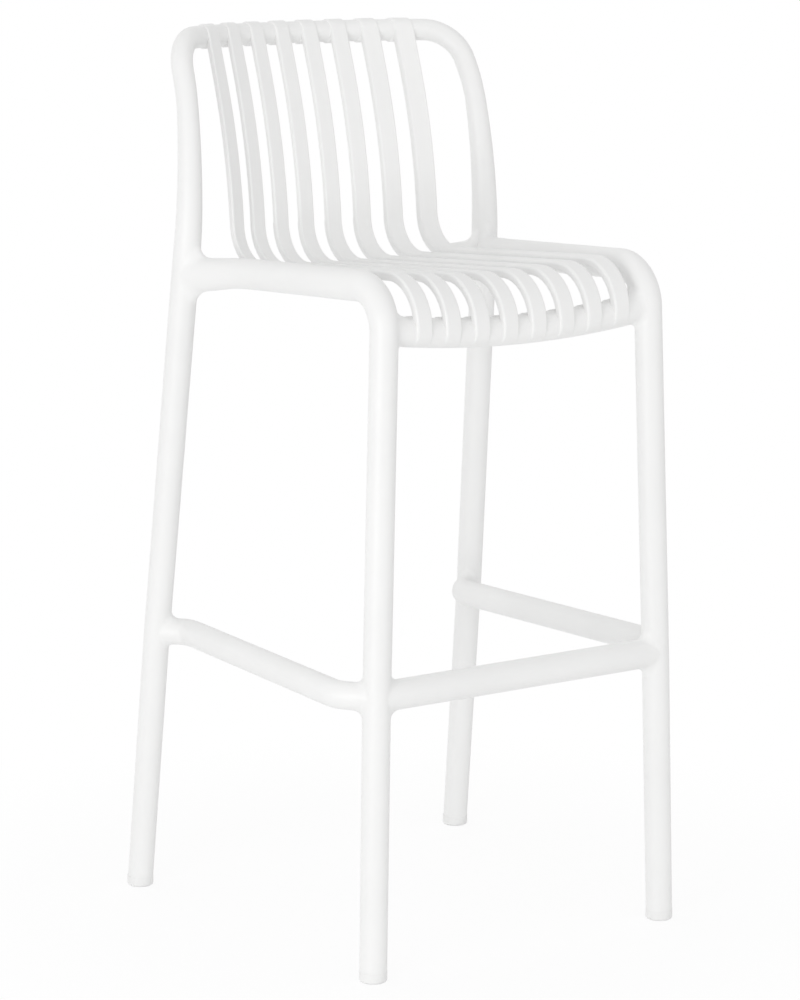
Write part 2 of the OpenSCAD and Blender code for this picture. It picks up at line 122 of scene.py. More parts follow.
class Route:
    """A line through corner points, each corner rounded by its own radius."""

    # Largest share of a straight stretch that its two bends may use
    MOST_BENT = 0.98
    TINY = 1e-9

    def __init__(self, corners: Sequence[Array], radii: Sequence[float]) -> None:
        """Works out the bends.

        Args:
            corners: The points where the straight stretches would meet.
            radii: Bend radius at each corner but the first and the last.
        """
        self.corners = [np.asarray(corner, float) for corner in corners]
        self.radii = [0.0, *radii, 0.0]
        last = len(self.corners) - 1
        self.ways = [unit(b - a) for a, b in zip(self.corners, self.corners[1:])]
        self.turns = [0.0] * (last + 1)
        for i in range(1, last):
            self.turns[i] = math.acos(float(np.clip(self.ways[i - 1] @ self.ways[i], -1, 1)))
        asked = [radius * math.tan(turn / 2) for radius, turn in zip(self.radii, self.turns)]
        room = [
            min(1.0, self.MOST_BENT * float(np.linalg.norm(self.corners[i + 1] - self.corners[i]))
                / max(self.TINY, asked[i] + asked[i + 1]))
            for i in range(last)
        ]
        self.cuts = [0.0] * (last + 1)
        for i in range(1, last):
            self.cuts[i] = asked[i] * min(room[i - 1], room[i])

    def bend(self, i: int, steps: int) -> list[Array]:
        """Points of one bend, both ends included.

        Args:
            i: Number of its corner.
            steps: Number of steps in it.

        Returns:
            The points.
        """
        before, after, turn = self.ways[i - 1], self.ways[i], self.turns[i]
        radius = self.cuts[i] / math.tan(turn / 2)
        inward = unit(after - before)
        centre = self.corners[i] + inward * radius / math.cos(turn / 2)
        out = self.corners[i] - before * self.cuts[i] - centre
        angles = [turn * k / steps for k in range(steps + 1)]
        return [centre + out * math.cos(a) + before * radius * math.sin(a) for a in angles]

    def points(self, straight: Sequence[int], bends: Sequence[int]) -> Array:
        """Points of the whole line.

        Args:
            straight: Number of steps in each straight stretch.
            bends: Number of steps in each bend.

        Returns:
            The points, one row each.
        """
        last = len(self.corners) - 1
        found: list[Array] = []
        for i in range(last):
            start = self.corners[i] + self.ways[i] * self.cuts[i]
            end = self.corners[i + 1] - self.ways[i] * self.cuts[i + 1]
            steps = straight[i]
            found += [start + (end - start) * k / steps for k in range(steps)]
            if i + 1 < last:
                found += self.bend(i + 1, bends[i])[:-1]
        found.append(self.corners[-1])
        return np.array(found)

    def spaced(self, spacing: float, turn_step: float) -> Array:
        """Points of the whole line, evenly spread.

        Args:
            spacing: Largest distance between two points.
            turn_step: Largest turn between two points.

        Returns:
            The points, one row each.
        """
        last = len(self.corners) - 1
        straight, bends = [], []
        for i in range(last):
            length = float(np.linalg.norm(self.corners[i + 1] - self.corners[i]))
            straight.append(max(1, math.ceil((length - self.cuts[i] - self.cuts[i + 1]) / spacing)))
            if i + 1 < last:
                arc = self.radii[i + 1] * self.turns[i + 1]
                bends.append(max(2, math.ceil(self.turns[i + 1] / turn_step), math.ceil(arc / spacing)))
        return self.points(straight, bends)


class Member:
    """A round or oval moulded member along a centre line."""

    SIDES = 96
    SPACING = 6 * MM
    TURN_STEP = math.radians(3)
    FILLET_ROWS = 10
    FILLET_REACH = 70 * MM
    HALVINGS = 40
    # How far past a fillet's foot its skirt goes, and how deep it lies under the host's surface there
    SKIRT = ((1.4 * MM, 0.02 * MM), (2.6 * MM, 0.8 * MM))
    SKIRT_LEAN = 0.15

    def __init__(self, line: Array, across: Array, half_side: Any, half_rise: Any = None) -> None:
        """Sets the member's sections up.

        Args:
            line: Points of the centre line.
            across: A direction that the centre line never runs in.
            half_side: Half its size square to across, for all points or each.
            half_rise: Half its other size; the same if left out.
        """
        self.line = line
        self.run = run_of(line)
        self.length = float(self.run[-1])
        heading = np.empty_like(line)
        heading[1:-1] = line[2:] - line[:-2]
        heading[0] = line[1] - line[0]
        heading[-1] = line[-1] - line[-2]
        self.heading = unit(heading)
        self.side = unit(np.cross(self.heading, across))
        self.rise = np.cross(self.heading, self.side)
        self.half_side = np.broadcast_to(np.asarray(half_side, float), self.run.shape)
        half_rise = half_side if half_rise is None else half_rise
        self.half_rise = np.broadcast_to(np.asarray(half_rise, float), self.run.shape)
        self.angles = np.arange(self.SIDES) * 2 * math.pi / self.SIDES

    def mirrored(self) -> "Member":
        """The same member on the other side, for others to end on."""
        return Member(mirror(self.line), ALONG + ACROSS + UP, self.half_side, self.half_rise)

    def surface(self, places: Array, angles: Array) -> tuple[Array, Array]:
        """Places on the surface.

        Args:
            places: Lengths along the centre line.
            angles: Angles round it.

        Returns:
            Points of the surface, and their outward normals.
        """
        centre = along(places, self.run, self.line)
        side = along(places, self.run, self.side)
        rise = along(places, self.run, self.rise)
        a = along(places, self.run, self.half_side)
        b = along(places, self.run, self.half_rise)
        cos, sin = np.cos(angles), np.sin(angles)
        points = centre + (a * cos)[..., None] * side + (b * sin)[..., None] * rise
        normals = unit((cos / a)[..., None] * side + (sin / b)[..., None] * rise)
        return points, normals

    def nearest(self, points: Array) -> tuple[Array, Array]:
        """Places on the centre line that lie nearest to some points.

        Args:
            points: The points.

        Returns:
            The nearest place for each point, and the radius there.
        """
        start, step = self.line[:-1], np.diff(self.line, axis=0)
        away = points[:, None, :] - start[None]
        share = np.clip((away * step).sum(-1) / (step * step).sum(-1), 0.0, 1.0)
        found = start + share[..., None] * step
        best = ((points[:, None, :] - found) ** 2).sum(-1).argmin(axis=1)
        rows = np.arange(len(points))
        share = share[rows, best]
        radius = self.half_side[best] * (1 - share) + self.half_side[best + 1] * share
        return found[rows, best], radius

    def pressed(self, points: Array, depth: float) -> Array:
        """Points brought to a depth below this member's surface."""
        centre, radius = self.nearest(points)
        return centre + unit(points - centre) * (radius - depth)[:, None]

    def flare(self, host: "Member", at_start: bool, fillet: Callable[[Array], Array]) -> Flare:
        """Ends the member on a host with a fillet that runs out smoothly on both.

        Args:
            host: The member that it meets. Its axis is where this one's centre line ends.
            at_start: Whether the centre line's start, and not its end, meets the host.
            fillet: Gives the fillet's radius from the surface's normal.

        Returns:
            How far from the host's axis the fillet starts at each angle, and the rings from
            there to the host.
        """
        def ball(reach: Array) -> tuple[Array, Array, Array]:
            """A ball that touches this member.

            Args:
                reach: How far from the host's axis it touches, for each angle.

            Returns:
                The touching points, the balls' radii and their centres.
            """
            places = reach if at_start else self.length - reach
            points, normals = self.surface(places, self.angles)
            radius = fillet(normals)
            return points, radius, points + radius[:, None] * normals

        low = np.zeros(self.SIDES)
        high = np.full(self.SIDES, self.FILLET_REACH)
        for _ in range(self.HALVINGS):
            middle = (low + high) / 2
            _, radius, centre = ball(middle)
            axis_point, host_radius = host.nearest(centre)
            free = np.linalg.norm(centre - axis_point, axis=1) > host_radius + radius
            high = np.where(free, middle, high)
            low = np.where(free, low, middle)
        points, radius, centre = ball(high)
        foot = host.pressed(centre, 0.0)
        from_bar, from_host = points - centre, foot - centre
        rings = []
        for k in range(1, self.FILLET_ROWS + 1):
            share = k / self.FILLET_ROWS
            rings.append(centre + unit((1 - share) * from_bar + share * from_host) * radius[:, None])
        out = unit(-from_host)
        heading = self.heading[0] if at_start else -self.heading[-1]
        onward = -unit(from_bar) - self.SKIRT_LEAN * heading
        onward = unit(onward - (onward * out).sum(-1, keepdims=True) * out)
        rings += [host.pressed(foot + reach * onward, depth) for reach, depth in self.SKIRT]
        return high, rings

    def rings(self, start: Flare | None = None, end: Flare | None = None) -> Array:
        """Rings of the whole member.

        Args:
            start: The flare at its start, if it ends on a host there.
            end: The flare at its end, if it ends on a host there.

        Returns:
            An array of rings, points and coordinates.
        """
        rows = self.run / self.length
        low = start[0] if start else np.zeros(self.SIDES)
        high = self.length - end[0] if end else np.full(self.SIDES, self.length)
        found = [self.surface(low + (high - low) * share, self.angles)[0] for share in rows]
        if start:
            found = start[1][::-1] + found
        if end:
            found = found + end[1]
        return np.array(found)


def taper_ends(run: Array, half: float, end_half: float, reach: float) -> Array:
    """Half widths that narrow towards both ends of a member."""
    from_end = np.minimum(run, run[-1] - run)
    return end_half + (half - end_half) * ease(from_end / reach)


class Workshop:
    """Makes blanks from primitives and lays them in their final shape."""

    @staticmethod
    def clear() -> None:
        """Deselects everything."""
        bpy.ops.object.select_all(action="DESELECT")

    @classmethod
    def choose(cls, piece: bpy.types.Object) -> None:
        """Selects one piece alone and makes it the active one.

        Args:
            piece: The piece.
        """
        cls.clear()
        piece.select_set(True)
        bpy.context.view_layer.objects.active = piece

    @classmethod
    def blank(cls, name: str, sides: int, rows: int) -> bpy.types.Object:
        """A closed round bar with rows of edges along it, as tall as it has rows.

        Args:
            name: Name of the piece.
            sides: Number of points in a ring.
            rows: Number of rows of faces.

        Returns:
            The piece.
        """
        cls.clear()
        bpy.ops.mesh.primitive_cylinder_add(
            vertices=sides, radius=1, depth=rows, end_fill_type="TRIFAN", location=(0, 0, 0)
        )
        piece = bpy.context.object
        piece.name = piece.data.name = name
        mesh = piece.data
        bpy.ops.object.mode_set(mode="EDIT")
        bpy.ops.mesh.select_mode(type="EDGE")
        bpy.ops.mesh.select_all(action="DESELECT")
        bpy.ops.object.mode_set(mode="OBJECT")
        for edge in mesh.edges:
            low, high = (mesh.vertices[v].co.z for v in edge.vertices)
            edge.select = abs(high - low) > rows / 2
        bpy.ops.object.mode_set(mode="EDIT")
        bpy.ops.mesh.subdivide(number_cuts=rows - 1)
        bpy.ops.object.mode_set(mode="OBJECT")
        return piece

    @classmethod
    def skin(cls, name: str, rings: Array) -> bpy.types.Object:
        """A closed piece whose surface runs through rings of points.

        Args:
            name: Name of the piece.
            rings: An array of rings, points and coordinates.

        Returns:
            The piece.
        """
        count, sides, _ = rings.shape
        piece = cls.blank(name, sides, count - 1)
        mesh = piece.data
        places = np.empty(len(mesh.vertices) * 3)
        mesh.vertices.foreach_get("co", places)
        places = places.reshape(-1, 3)
        row = np.rint(places[:, 2] + (count - 1) / 2).astype(int)
        turn = np.arctan2(places[:, 1], places[:, 0]) / (2 * math.pi) * sides
        column = np.rint(turn - cls.phase(sides)).astype(int) % sides
        laid = rings[row, column]
        middle = np.hypot(places[:, 0], places[:, 1]) < 0.5
        laid[middle] = rings[row[middle]].mean(axis=1)
        mesh.vertices.foreach_set("co", laid.ravel())
        mesh.update()
        cls.outward(piece)
        cls.smooth(piece)
        return piece

    @staticmethod
    def phase(sides: int) -> float:
        """Place of the primitive's first point, in points round the ring."""
        return (sides / 4) % 1

    @classmethod
    def outward(cls, piece: bpy.types.Object) -> None:
        """Turns all faces outwards.

        Args:
            piece: The piece, a closed one.
        """
        cls.choose(piece)
        bpy.ops.object.mode_set(mode="EDIT")
        bpy.ops.mesh.select_all(action="SELECT")
        bpy.ops.mesh.normals_make_consistent(inside=False)
        bpy.ops.object.mode_set(mode="OBJECT")

    @classmethod
    def smooth(cls, piece: bpy.types.Object, degrees: float = 40.0) -> None:
        """Shades a piece smooth but for edges sharper than an angle."""
        cls.choose(piece)
        bpy.ops.object.shade_smooth_by_angle(angle=math.radians(degrees))

    @classmethod
    def twin(cls, piece: bpy.types.Object, name: str) -> bpy.types.Object:
        """Copies a piece to the chair's other side.

        Args:
            piece: The piece.
            name: Name of the copy.

        Returns:
            The mirrored copy, which has its own mesh.
        """
        cls.choose(piece)
        bpy.ops.object.duplicate(linked=False)
        copy = bpy.context.object
        copy.name = copy.data.name = name
        bpy.ops.object.mode_set(mode="EDIT")
        bpy.ops.mesh.select_all(action="SELECT")
        bpy.ops.transform.resize(value=(-1, 1, 1), center_override=(0, 0, 0))
        bpy.ops.mesh.flip_normals()
        bpy.ops.object.mode_set(mode="OBJECT")
        return copy


def hand_over(
    piece: bpy.types.Object, node: str | None, material: bpy.types.Material
) -> None:
    """Dresses a finished piece and puts it in its place in the chair.

    Args:
        piece: The piece.
        node: The solid that it stands for, if there is one.
        material: Its finish.
    """
    piece.data.materials.clear()
    piece.data.materials.append(material)
    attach(piece, "root")
    if node:
        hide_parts(node)
    LOG.info("%s: %d faces", piece.name, len(piece.data.polygons))


class Socket:
    """A shader socket that takes part in sums and products."""

    def __init__(self, maker: "Shading", socket: bpy.types.NodeSocket) -> None:
        """Wraps a node's output."""
        self.maker = maker
        self.socket = socket

    def math(self, operation: str, *others: Any) -> "Socket":
        """The result of a Math node on this value and others."""
        return self.maker.node("ShaderNodeMath", {"operation": operation}, self, *others)

    def __add__(self, other: Any) -> "Socket":
        """Sum."""
        return self.math("ADD", other)

    __radd__ = __add__

    def __mul__(self, other: Any) -> "Socket":
        """Product."""
        return self.math("MULTIPLY", other)

    __rmul__ = __mul__

    def __sub__(self, other: Any) -> "Socket":
        """Difference."""
        return self.math("SUBTRACT", other)

    def __rsub__(self, other: Any) -> "Socket":
        """Difference from a number."""
        return self.maker.node("ShaderNodeMath", {"operation": "SUBTRACT"}, other, self)

    def between(self, low: float, high: float) -> "Socket":
        """A smooth share, from 0 at low to 1 at high."""
        return self.maker.node(
            "ShaderNodeMapRange", {"interpolation_type": "SMOOTHSTEP"}, self, low, high, 0.0, 1.0
        )


class Shading:
    """Builds one material's nodes."""

    def __init__(self, owner: bpy.types.Material | bpy.types.World) -> None:
        """Empties a tree of nodes.

        Args:
            owner: The material or world whose nodes are built.
        """
        self.owner = owner
        owner.use_nodes = True
        self.tree = owner.node_tree
        self.tree.nodes.clear()

    @classmethod
    def named(cls, name: str) -> "Shading":
        """Starts a new material."""
        return cls(bpy.data.materials.new(name))

    def node(
        self, kind: str, settings: dict[str, Any] | None = None, *values: Any, out: Any = 0, **named: Any
    ) -> Socket:
        """Adds a node.

        Args:
            kind: The node's type.
            settings: Its properties, which are set first.
            values: Values or links of its inputs, in order.
            out: Which output is wanted.
            named: Values or links of inputs by name, with _ for a space.

        Returns:
            The wanted output.
        """
        made = self.tree.nodes.new(kind)
        for key, value in (settings or {}).items():
            setattr(made, key, value)
        by_name = [(key.replace("_", " "), value) for key, value in named.items()]
        for key, value in [*enumerate(values), *by_name]:
            if isinstance(value, Socket):
                self.tree.links.new(value.socket, made.inputs[key])
            elif value is not None:
                made.inputs[key].default_value = value
        return Socket(self, made.outputs[out])

    def towards(self, way: Socket, aim: Array) -> Socket:
        """How much of a direction points to an aim, from 0 to 1."""
        dot = {"operation": "DOT_PRODUCT"}
        share = self.node("ShaderNodeVectorMath", dot, way, tuple(aim), out="Value")
        return share.math("MAXIMUM", 0.0)

    def blend(self, share: Socket, low: Sequence[float], high: Sequence[float]) -> Socket:
        """A colour between two others.

        Args:
            share: How far it is from the first to the second, from 0 to 1.
            low: The first colour.
            high: The second colour.

        Returns:
            The colour.
        """
        # The Mix node's sockets for numbers and vectors come before those for colours
        skipped = [None] * 5
        ends = [(*low, 1.0), (*high, 1.0)]
        return self.node("ShaderNodeMix", {"data_type": "RGBA"}, share, *skipped, *ends, out=2)

    def seen(self) -> Socket:
        """Whether the camera sees a place, straight or in a reflection or through something.

        Returns:
            1 where it does, and 0 elsewhere.
        """
        path = self.node("ShaderNodeLightPath").socket.node
        names = ("Is Camera Ray", "Is Glossy Ray", "Is Transmission Ray")
        camera, glossy, through = (Socket(self, path.outputs[name]) for name in names)
        return camera.math("MAXIMUM", glossy).math("MAXIMUM", through)

    def surface(self, shader: Socket) -> bpy.types.Material | bpy.types.World:
        """Ends the tree.

        Args:
            shader: What goes to its output.

        Returns:
            The material or the world.
        """
        is_world = isinstance(self.owner, bpy.types.World)
        out = self.tree.nodes.new("ShaderNodeOutputWorld" if is_world else "ShaderNodeOutputMaterial")
        self.tree.links.new(shader.socket, out.inputs["Surface"])
        return self.owner


@dataclass(frozen=True)
class SatinPlastic:
    """White plastic as it comes out of the mould: satin, with a fine grain."""

    name: str
    colour: tuple[float, float, float]
    roughness: float = 0.42
    roughness_spread: float = 0.08
    grain_size: float = 0.55 * MM
    grain_depth: float = 0.012 * MM
    grain_strength: float = 0.35
    flow_size: float = 90 * MM
    flow_range: tuple[float, float] = (0.35, 0.65)
    flow_shade: float = 0.985
    scuff_size: float = 24 * MM
    scuff_range: tuple[float, float] = (0.58, 0.72)
    scuff_polish: float = 0.07
    edge_range: tuple[float, float] = (0.52, 0.60)
    edge_polish: float = 0.08

    def build(self) -> bpy.types.Material:
        """Makes the finish.

        Returns:
            Its material.
        """
        s = Shading.named(self.name)
        place = s.node("ShaderNodeTexCoord", out="Object")
        grain = s.node("ShaderNodeTexNoise", {}, Vector=place, Scale=1 / self.grain_size, Detail=2.0)
        flow = s.node("ShaderNodeTexNoise", {}, Vector=place, Scale=1 / self.flow_size, Detail=3.0)
        scuff = s.node("ShaderNodeTexNoise", {}, Vector=place, Scale=1 / self.scuff_size, Detail=6.0)
        edge = s.node("ShaderNodeNewGeometry", out="Pointiness")
        streaked = [channel * self.flow_shade for channel in self.colour]
        tone = s.blend(flow.between(*self.flow_range), streaked, self.colour)
        worn = edge.between(*self.edge_range) * self.edge_polish
        rubbed = scuff.between(*self.scuff_range) * self.scuff_polish
        least = self.roughness - self.roughness_spread / 2
        roughness = grain * self.roughness_spread + least - (worn + rubbed)
        bump = s.node(
            "ShaderNodeBump", {}, Strength=self.grain_strength, Distance=self.grain_depth, Height=grain
        )
        return s.surface(
            s.node("ShaderNodeBsdfPrincipled", {}, Base_Color=tone, Roughness=roughness, Normal=bump)
        )


def in_mm(x: float, y: float, z: float) -> Any:
    """A size that is a point or a way, given in millimetres."""
    return field(default_factory=lambda: np.array([x, y, z]) * MM)


@dataclass
class Chair:
    """Driving sizes of the chair and the points that follow from them, for its left side."""

    # Centre lines: both feet, and the corner where a front leg would meet its side rail
    front_foot: Array = in_mm(199.5, -227.0, 0.0)
    rear_foot: Array = in_mm(230.5, 227.0, 0.0)
    seat_corner: Array = in_mm(176.5, -217.5, 759.0)
    glide_h: float = 8 * MM
    front_leg_d: float = 31.2 * MM
    rear_leg_d: float = 29.8 * MM
    # How far the legs bulge outwards at the footrest
    front_leg_set: float = 1.7 * MM
    rear_leg_set: float = 3.2 * MM
    leg_set_r: float = 1500 * MM
    footrest_z: float = 316.6 * MM
    footrest_d: float = 33.4 * MM
    stretcher_d: float = 31 * MM
    # A stretcher's bends, seen from the rear and the front leg at its ends
    stretcher_rear_way: Array = in_mm(-28.0, -26.0, 0.0)
    stretcher_front_way: Array = in_mm(28.0, 35.0, 0.0)
    stretcher_r: float = 28 * MM
    seat_corner_r: float = 46.5 * MM
    corner_stub: float = 66 * MM
    # Side rail: where it bends, outwards and down from the seat corner, and how much lower it ends
    side_rail_d: float = 34.5 * MM
    rail_turn_out: float = 2.5 * MM
    rail_turn_y: float = 62 * MM
    rail_turn_r: float = 150 * MM
    rail_turn_drop: float = 12 * MM
    rail_rear_drop: float = 17.5 * MM
    # Front rail, which lies behind and below the seat corners and sags towards its middle
    front_rail_d: float = 32.4 * MM
    front_rail_back: float = 5 * MM
    front_rail_drop: float = 56 * MM
    sag_r: float = 1250 * MM
    # Upright: its waist, seen from the rear foot and the seat's height, and its shoulder
    upright_low_d: float = 31.2 * MM
    upright_top_d: float = 24.4 * MM
    waist_in: float = 24.8 * MM
    waist_forward: float = 98 * MM
    waist_rise: float = 66.5 * MM
    waist_r: float = 610 * MM
    shoulder_rise: float = 115 * MM
    shoulder_back: float = 19.5 * MM
    shoulder_in: float = 6.8 * MM
    shoulder_r: float = 155 * MM
    # Top rail, bowed towards the rear, and its corners
    top_corner_in: float = 6.5 * MM
    top_rail_rise: float = 63.4 * MM
    top_rail_y: float = 243.5 * MM
    top_rail_d: float = 25.5 * MM
    bow_r: float = 304 * MM
    bow_past: float = 21 * MM
    top_corner_r: float = 53 * MM
    outer_slat_x: float = 133 * MM
    # Corner web, which narrows towards its end
    web_end: Array = in_mm(134.0, 126.5, 750.6)
    web_d: float = 26 * MM
    web_end_d: float = 8.6 * MM
    # Small departures: slimmer feet and corners, swaying rear legs, a front rail that lies lower
    # under the slats, and a top rail that is lower in its middle
    foot_slimming: float = 0.8 * MM
    leg_sway: Array = in_mm(0.7, 0.8, 0.0)
    corner_slimming: float = 0.8 * MM
    front_rail_sink: float = 2.3 * MM
    top_rail_sink: float = 0.6 * MM

    def __post_init__(self) -> None:
        """Works out the points that the members share."""
        front_line = at_height(self.front_foot, self.seat_corner, self.footrest_z)
        self.front_knee = front_line + self.front_leg_set * ACROSS
        low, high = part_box("foot_glide_front_left")
        shift = (low.y + high.y) / 2 - at_height(self.front_foot, self.front_knee, self.glide_h)[1]
        self.shift = np.array([0.0, shift, 0.0])
        self.waist = self.rear_foot + np.array(
            [-self.waist_in, -self.waist_forward, self.seat_corner[2] + self.waist_rise]
        )
        self.shoulder = self.waist + np.array([-self.shoulder_in, self.shoulder_back, self.shoulder_rise])
        rear_line = at_height(self.rear_foot, self.waist, self.footrest_z)
        self.rear_knee = rear_line + self.rear_leg_set * ACROSS
        self.top_rail_z = self.shoulder[2] + self.top_rail_rise
        self.bow_centre = np.array([0.0, self.top_rail_y - self.bow_r, self.top_rail_z])
        self.bow_angle = math.asin(self.outer_slat_x / self.bow_r) + self.bow_past / self.bow_r
        self.bow_end = self.bow_point(self.bow_angle)
        bow_out = np.array([math.cos(self.bow_angle), -math.sin(self.bow_angle), 0.0])
        reach = (self.shoulder[0] - self.top_corner_in - self.bow_end[0]) / bow_out[0]
        self.top_corner = self.bow_end + reach * bow_out
        turn_out = np.array([self.rail_turn_out, 0.0, -self.rail_turn_drop])
        self.rail_turn = np.array([self.seat_corner[0], self.rail_turn_y, self.seat_corner[2]]) + turn_out
        self.rail_root = at_height(self.rear_knee, self.waist, self.seat_corner[2] - self.rail_rear_drop)
        self.stub_end = self.seat_corner + self.corner_stub * unit(self.rail_turn - self.seat_corner)
        self.front_rail_y = self.seat_corner[1] + self.front_rail_back
        self.front_rail_z = self.seat_corner[2] - self.front_rail_drop

    def bow_point(self, angle: float) -> Array:
        """Point of the top rail's centre line at an angle from its middle."""
        return self.bow_centre + self.bow_r * np.array([math.sin(angle), math.cos(angle), 0.0])

    def bow_at(self, x: Any) -> Any:
        """How far the top rail lies ahead of its middle at x."""
        return self.bow_r - np.sqrt(self.bow_r**2 - x**2)

    def top_sink_at(self, x: Any) -> Any:
        """How far the top rail lies below its ends at x."""
        return self.top_rail_sink * (1 - ease(np.abs(x) / self.bow_end[0]))

    def sag_at(self, x: Any) -> Any:
        """How far the front rail and the seat lie above their middle at x."""
        return self.sag_r - np.sqrt(self.sag_r**2 - x**2)


@dataclass
class MouldedFrame:
    """Legs, rails, footrest and stretchers, which blend into each other with fillets."""

    chair: Chair
    material: bpy.types.Material
    # Radii of the fillets, above and below
    footrest_fillet: Radii = (11 * MM, 13 * MM)
    stretcher_rear_fillet: Radii = (9 * MM, 6 * MM)
    stretcher_front_fillet: Radii = (9 * MM, 11 * MM)
    side_rail_fillet: Radii = (16 * MM, 25 * MM)
    front_rail_fillet: Radii = (17 * MM, 8 * MM)
    web_fillet: Radii = (17 * MM, 9 * MM)
    # How much less than its leg's radius a bar's end has, and the length over which it narrows
    bar_end_in: float = 0.5 * MM
    stretcher_end_in: float = 0.6 * MM
    bar_end_reach: float = 45 * MM
    front_rail_end_reach: float = 40 * MM
    # A side rail's rear stretch, which gets narrower and deeper
    rail_end: float = 75 * MM
    rail_end_narrowing: float = 60 * MM
    rail_end_deepening: float = 50 * MM
    rail_end_deeper: float = 1.6 * MM
    # Where a front corner's slimmer middle ends, and the length over which it gets full
    corner_middle: float = 18 * MM
    corner_reach: float = 22 * MM
    rail_points: int = 61
    web_points: int = 25

    def __post_init__(self) -> None:
        """Lays out the legs on the left side, which the other members end on."""
        self.front_leg = self.make_front_leg()
        self.rear_leg = self.make_rear_leg()

    def placed(self, line: Array) -> Array:
        """A centre line moved to its place under the chair's own origin."""
        return line + self.chair.shift

    def make_front_leg(self) -> Member:
        """Lays out a front leg with the first stretch of its side rail.

        Returns:
            The left one.
        """
        c = self.chair
        corners = [c.front_foot, c.front_knee, c.seat_corner, c.stub_end]
        route = Route(corners, [c.leg_set_r, c.seat_corner_r])
        line = route.spaced(Member.SPACING, Member.TURN_STEP)
        line = line[line[:, 2] > c.glide_h + Member.SPACING / 2]
        line = np.vstack([at_height(c.front_foot, c.front_knee, c.glide_h), line])
        heights = [0.0, c.footrest_z, c.seat_corner[2] - c.seat_corner_r, c.stub_end[2]]
        sizes = np.array([c.front_leg_d - c.foot_slimming, c.front_leg_d, c.front_leg_d, c.side_rail_d])
        half = np.interp(line[:, 2], heights, sizes / 2)
        from_corner = np.linalg.norm(line - c.seat_corner, axis=1)
        half = np.where(line[:, 1] > c.seat_corner[1] + c.seat_corner_r, c.side_rail_d / 2, half)
        full = ease((from_corner - self.corner_middle) / self.corner_reach)
        return Member(self.placed(line), ACROSS, half - c.corner_slimming * (1 - full), half)

    def make_rear_leg(self) -> Member:
        """Lays out a rear leg, its upright and the top corner.

        Returns:
            The left one.
        """
        c = self.chair
        corners = [c.rear_foot, c.rear_knee, c.waist, c.shoulder, c.top_corner, c.bow_end]
        route = Route(corners, [c.leg_set_r, c.waist_r, c.shoulder_r, c.top_corner_r])
        line = route.spaced(Member.SPACING, Member.TURN_STEP)
        line = line[line[:, 2] > c.glide_h + Member.SPACING / 2]
        line = np.vstack([at_height(c.rear_foot, c.rear_knee, c.glide_h), line])
        heights = [0.0, c.rail_root[2] + c.side_rail_d, c.shoulder[2] - c.upright_top_d / 2, c.top_rail_z]
        sizes = np.array([c.rear_leg_d, c.upright_low_d, c.upright_top_d, c.top_rail_d])
        half = np.interp(line[:, 2], heights, sizes / 2)
        under_seat = ease((line[:, 2] - c.footrest_z) / (c.rail_root[2] - c.footrest_z))
        over_seat = ease((line[:, 2] - c.rail_root[2]) / (2 * c.side_rail_d))
        line = line + (under_seat - over_seat)[:, None] * c.leg_sway
        return Member(self.placed(line), ALONG, half)

    @staticmethod
    def fillet(above: float, below: float) -> Callable[[Array], Array]:
        """Fillet between a bar and its leg.

        Args:
            above: Its radius above the bar.
            below: Its radius below the bar.

        Returns:
            What gives the radius for each normal of the bar's surface.
        """
        def radius(normals: Array) -> Array:
            """Radius for each normal."""
            return below + (above - below) * ease(0.5 + 0.5 * normals[:, 2])
        return radius

    @staticmethod
    def level_start(rings: Array, height: float) -> Array:
        """Cuts a member level.

        Args:
            rings: Its rings.
            height: Height of the cut.

        Returns:
            The rings, the first of which lies at that height.
        """
        way = rings[1] - rings[0]
        rings = rings.copy()
        rings[0] += way * ((height - rings[0, :, 2]) / way[:, 2])[:, None]
        return rings

    def pair(self, stem: str, rings: Array) -> None:
        """Makes the left piece and its mirrored twin.

        Args:
            stem: Their name but for the side.
            rings: Rings of the left one.
        """
        left = Workshop.skin(f"moulded_{stem}_left", rings)
        right = Workshop.twin(left, f"moulded_{stem}_right")
        hand_over(left, f"{stem}_left", self.material)
        hand_over(right, f"{stem}_right", self.material)

    def build_legs(self) -> None:
        """Makes the four legs."""
        self.pair("front_leg", self.level_start(self.front_leg.rings(), self.chair.glide_h))
        self.pair("rear_leg", self.level_start(self.rear_leg.rings(), self.chair.glide_h))

    def bar(self, line: Array, half: float, end_half: float, reach: float) -> Member:
        """A bar that narrows over a reach at its ends, so that its sides run out on its legs."""
        return Member(self.placed(line), UP, taper_ends(run_of(line), half, end_half, reach), half)

    def cross_bar(self, node: str, line: Array, size: float, reach: float, radii: Radii) -> None:
        """Makes a bar from one front leg to the other.

        Args:
            node: The solid that it stands for.
            line: Points of its centre line, from the right leg to the left one.
            size: Its width and height.
            reach: Length over which its ends narrow.
            radii: Its fillets' radii, above and below.
        """
        bar = self.bar(line, size / 2, self.chair.front_leg_d / 2 - self.bar_end_in, reach)
        fillet = self.fillet(*radii)
        right = bar.flare(self.front_leg.mirrored(), True, fillet)
        left = bar.flare(self.front_leg, False, fillet)
        piece = Workshop.skin(f"moulded_{node}", bar.rings(right, left))
        hand_over(piece, node, self.material)

    def build_footrest(self) -> None:
        """Makes the footrest bar."""
        c = self.chair
        line = Route([mirror(c.front_knee), c.front_knee], []).spaced(Member.SPACING, Member.TURN_STEP)
        self.cross_bar("footrest_bar", line, c.footrest_d, self.bar_end_reach, self.footrest_fillet)

